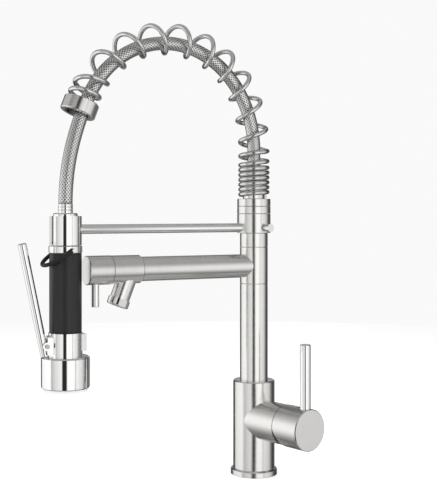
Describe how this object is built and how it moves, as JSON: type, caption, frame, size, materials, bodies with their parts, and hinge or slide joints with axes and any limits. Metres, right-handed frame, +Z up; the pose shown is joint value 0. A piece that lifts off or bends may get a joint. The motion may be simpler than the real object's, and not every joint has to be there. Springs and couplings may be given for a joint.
{
  "type": "pull-down kitchen faucet",
  "caption": "Spring-neck kitchen faucet with a side lever mixer, a swivelling lower spout with its own tap, and a docked pull-down spray head on a braided hose.",
  "frame": {"origin": "mouth of the fixing stud hole, at the centre of the underside that rests on the deck", "axes": "+Z up along the column, -Y from the column towards the sink along the spout, +X towards the side handle"},
  "size_m": [0.1123, 0.302, 0.477],
  "materials": {
    "brushed_nickel": "satin brushed nickel plating on brass",
    "polished_nickel": "bright nickel, lightly brushed",
    "spring_steel": "bright drawn spring wire",
    "screw_steel": "dull stainless screw",
    "braided_hose": "stainless braid over a rubber hose",
    "brass": "machined brass",
    "black_grip": "satin black moulded grip",
    "black_rubber": "soft black rubber",
    "seal_rubber": "black nitrile seal",
    "nozzle_rubber": "grey silicone nozzles",
    "black_plastic": "black nylon",
    "white_plastic": "white moulded plastic",
    "grey_plastic": "grey moulded plastic"
  },
  "bodies": {
    "base": {"base_flange": "brushed_nickel", "deck_gasket": "seal_rubber", "mixer_body": "brushed_nickel", "column_tube": "brushed_nickel", "swivel_core": "brass", "swivel_seals": "seal_rubber", "upper_column_ring": "brushed_nickel", "retaining_clip": "spring_steel", "mixing_cartridge": "white_plastic", "cartridge_nut": "brass", "cartridge_dome": "brushed_nickel"},
    "temperature_disc": {"cartridge_turntable": "grey_plastic"},
    "handle": {"handle_hub": "brushed_nickel", "handle_rod": "polished_nickel", "handle_stem": "brass", "handle_grub_screw": "screw_steel"},
    "spout": {"spout_sleeve": "brushed_nickel", "spout_tube": "brushed_nickel", "spout_valve_body": "brushed_nickel", "spout_shutoff_valve": "white_plastic", "aerator_housing": "polished_nickel", "aerator_insert": "grey_plastic"},
    "spout_tap": {"spout_knob": "brushed_nickel", "spout_knob_pin": "polished_nickel", "spout_knob_stem": "brass"},
    "holder": {"holder_collar": "brushed_nickel", "collar_thumb_screw": "polished_nickel", "spring_base_ring": "brushed_nickel", "spring_seat": "brushed_nickel", "hose_fitting": "brass", "holder_bar": "polished_nickel", "dock_cup": "polished_nickel", "dock_liner": "black_plastic", "support_spring": "spring_steel", "spring_end_nut": "polished_nickel", "hose_upper": "braided_hose", "hose_drop": "braided_hose"},
    "sprayer": {"hose_ferrule": "polished_nickel", "spray_neck": "polished_nickel", "keeper_ring": "polished_nickel", "spray_grip": "black_grip", "spray_waterway": "white_plastic", "lever_collar": "polished_nickel", "spray_head_shell": "polished_nickel", "spray_face": "white_plastic", "spray_nozzles": "nozzle_rubber", "lever_pivot_pin": "screw_steel"},
    "squeeze_lever": {"spray_lever": "polished_nickel"},
    "plunger": {"valve_plunger": "brass"},
    "keeper": {"keeper_bail": "black_rubber", "keeper_pins": "polished_nickel"}
  },
  "joints": [
    {"name": "temperature_turn", "type": "hinge", "parent": "base", "child": "temperature_disc", "pos_m": [0.04629, 0.00816, 0.06], "axis": [0.9848, 0.1736, 0], "range_deg": [-45, 45]},
    {"name": "flow_tilt", "type": "hinge", "parent": "temperature_disc", "child": "handle", "pos_m": [0.04629, 0.00816, 0.06], "axis": [-0.1736, 0.9848, 0], "range_deg": [0, 20]},
    {"name": "spout_swivel", "type": "hinge", "parent": "base", "child": "spout", "pos_m": [0, 0, 0.224], "axis": [0, 0, 1], "continuous": true},
    {"name": "spout_tap_turn", "type": "hinge", "parent": "spout", "child": "spout_tap", "pos_m": [0, -0.176, 0.224], "axis": [0, -1, 0], "range_deg": [0, 90]},
    {"name": "holder_swivel", "type": "hinge", "parent": "base", "child": "holder", "pos_m": [0, 0, 0.27], "axis": [0, 0, 1], "continuous": true},
    {"name": "sprayer_pull", "type": "slide", "parent": "holder", "child": "sprayer", "axis": [0, 0, -1], "range_m": [0, 0.03], "deforming": ["hose_drop"]},
    {"name": "lever_squeeze", "type": "hinge", "parent": "sprayer", "child": "squeeze_lever", "pos_m": [0, -0.239, 0.152], "axis": [1, 0, 0], "range_deg": [-3, 0], "stiffness_Nm_per_rad": 0.8, "springref_deg": 8.59},
    {"name": "plunger_push", "type": "slide", "parent": "sprayer", "child": "plunger", "axis": [0, -1, 0], "range_m": [-0.00042, 0]},
    {"name": "keeper_swing", "type": "hinge", "parent": "sprayer", "child": "keeper", "pos_m": [0, -0.2175, 0.245], "axis": [1, 0, 0], "range_deg": [-30, 12]}
  ],
  "couplings": [
    {"joint": "plunger_push", "follows": "lever_squeeze", "m_per_rad": 0.008}
  ]
}
